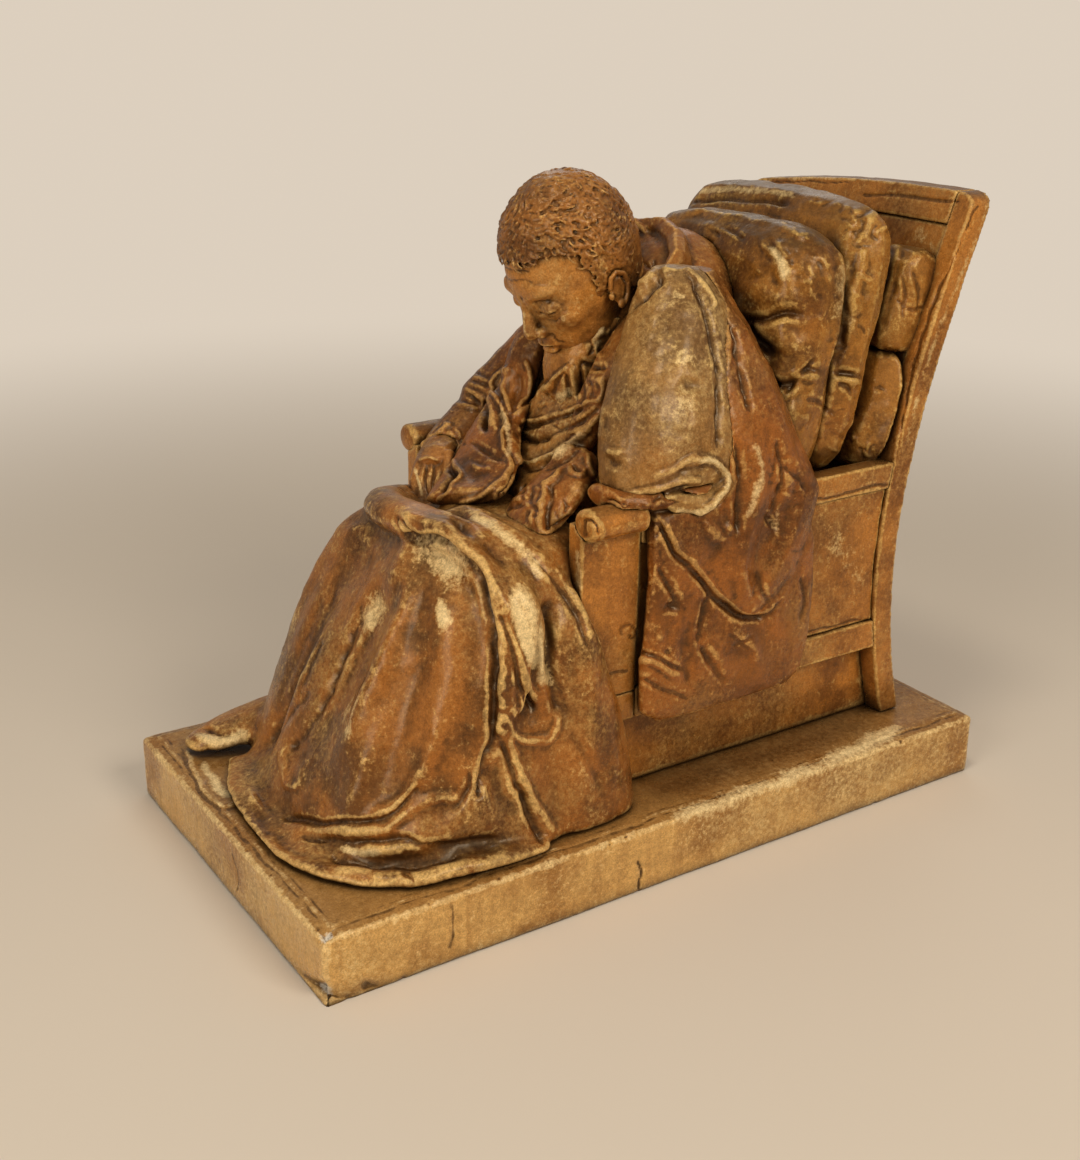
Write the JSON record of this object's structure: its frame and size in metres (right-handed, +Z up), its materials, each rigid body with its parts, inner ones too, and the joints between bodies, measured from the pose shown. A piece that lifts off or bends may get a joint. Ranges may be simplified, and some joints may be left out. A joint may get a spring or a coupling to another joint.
{
  "type": "seated poet statuette",
  "caption": "Patinated plaster statuette of an aged poet dozing in a cushioned armchair, a blanket over the knees, on an oblong plinth.",
  "frame": {"origin": "centre of the plinth's underside", "axes": "+X from the sitter's feet towards the chair's back, +Y towards the sitter's right side, +Z up"},
  "size_m": [0.4, 0.22, 0.3311],
  "materials": {
    "brown_patina": "plaster, golden-brown patina, satin wax",
    "umber_patina": "plaster, dark umber patina, satin wax",
    "ochre_patina": "plaster, ochre patina, rubbed",
    "dusty_patina": "plaster, worn greyish-ochre patina"
  },
  "bodies": {
    "root": {"plinth": "ochre_patina", "left_back_stile": "brown_patina", "right_back_stile": "brown_patina", "crest_rail": "umber_patina", "back_panel": "brown_patina", "left_arm_roll": "brown_patina", "left_arm_post": "brown_patina", "left_post_block": "brown_patina", "left_arm_rail": "brown_patina", "left_side_panel": "ochre_patina", "left_seat_rail": "brown_patina", "right_arm_roll": "brown_patina", "right_arm_post": "brown_patina", "right_post_block": "brown_patina", "right_arm_rail": "brown_patina", "right_side_panel": "ochre_patina", "right_seat_rail": "brown_patina", "seat": "umber_patina", "underseat_box": "brown_patina", "coat_body": "umber_patina", "lap_blanket": "ochre_patina", "cravat": "umber_patina", "waistcoat": "brown_patina", "left_lapel": "brown_patina", "right_lapel": "brown_patina", "coat_collar": "ochre_patina", "head": "brown_patina", "left_ear": "brown_patina", "right_ear": "brown_patina", "hair": "ochre_patina", "left_sleeve": "dusty_patina", "cloak": "umber_patina", "coat_tail": "brown_patina", "right_sleeve": "brown_patina", "right_cuff": "brown_patina", "right_coat_front": "brown_patina", "left_coat_front": "dusty_patina", "right_hand": "ochre_patina", "front_cushion": "ochre_patina", "middle_cushion": "ochre_patina", "rear_cushion": "brown_patina", "bolster": "ochre_patina", "blanket_roll": "ochre_patina", "blanket_side_fall": "ochre_patina", "blanket_hem": "dusty_patina", "hem_corner": "dusty_patina"}
  },
  "joints": []
}
